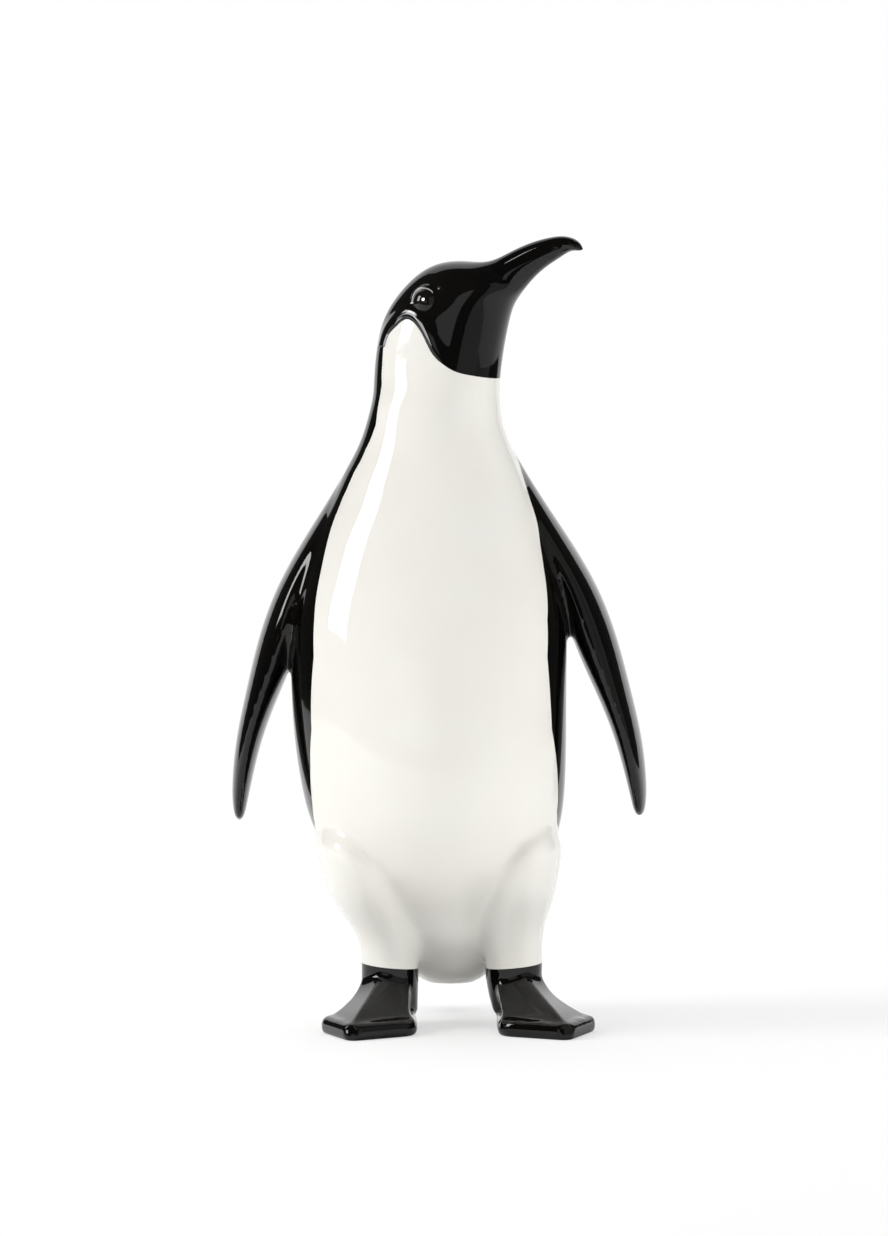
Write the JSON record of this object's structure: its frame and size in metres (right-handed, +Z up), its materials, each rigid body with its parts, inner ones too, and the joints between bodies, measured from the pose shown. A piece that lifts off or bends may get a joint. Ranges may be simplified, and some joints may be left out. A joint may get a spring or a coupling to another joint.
{
  "type": "penguin figurine",
  "caption": "Glazed ceramic figurine of a standing penguin with its head turned and its flippers held off the body, a free-standing ornament for a shelf or table.",
  "frame": {"origin": "middle of the whole seen from above, on the plane of the two soles", "axes": "+Z up along the standing bird, the belly faces -Y, +X towards the bird's left flipper; the bill points to +X and a little to -Y"},
  "size_m": [0.1352, 0.0984, 0.2545],
  "materials": {
    "hood_black_glaze": "gloss",
    "bill_black_glaze": "gloss",
    "breast_white_glaze": "gloss",
    "back_black_glaze": "gloss",
    "tail_black_glaze": "gloss",
    "eye_black_glaze": "gloss",
    "flipper_black_glaze": "gloss",
    "leg_white_glaze": "gloss",
    "foot_black_glaze": "gloss"
  },
  "bodies": {
    "root": {"head_hood": "hood_black_glaze", "bill": "bill_black_glaze", "breast_shell": "breast_white_glaze", "back_shell": "back_black_glaze", "tail": "tail_black_glaze", "eye_right": "eye_black_glaze", "eye_left": "eye_black_glaze", "flipper_right": "flipper_black_glaze", "flipper_left": "flipper_black_glaze", "leg_right": "leg_white_glaze", "leg_left": "leg_white_glaze", "foot_right": "foot_black_glaze", "foot_left": "foot_black_glaze"}
  },
  "joints": []
}
